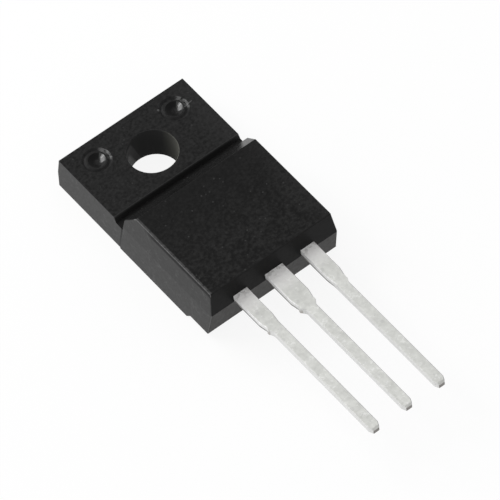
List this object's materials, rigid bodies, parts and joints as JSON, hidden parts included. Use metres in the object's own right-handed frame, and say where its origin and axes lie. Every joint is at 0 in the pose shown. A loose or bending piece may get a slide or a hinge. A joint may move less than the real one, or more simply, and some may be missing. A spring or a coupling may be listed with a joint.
{
  "type": "power transistor",
  "caption": "Insulated power transistor: black moulded epoxy case with a drilled mounting tab, and flat tinned leads for soldering into a circuit board.",
  "frame": {"origin": "centre of the screw hole, on the back face that rests on the heat sink", "axes": "+Z from the back face to the front along the screw hole, +Y along the case to the tab's free end, +X to the right lead; the leads run towards -Y"},
  "size_m": [0.0102, 0.0289, 0.0045],
  "materials": {
    "case_epoxy": "fine matt moulded epoxy",
    "tinned_lead": "satin tin plating on copper",
    "solder": "dull solder",
    "silicon": "polished silicon with an aluminium face",
    "bond_wire": "bright drawn wire"
  },
  "bodies": {
    "root": {"case": "case_epoxy", "spreader_and_centre_lead": "tinned_lead", "left_lead": "tinned_lead", "right_lead": "tinned_lead", "chip_solder": "solder", "chip": "silicon", "control_wire": "bond_wire", "power_wire_inner": "bond_wire", "power_wire_outer": "bond_wire"}
  },
  "joints": []
}
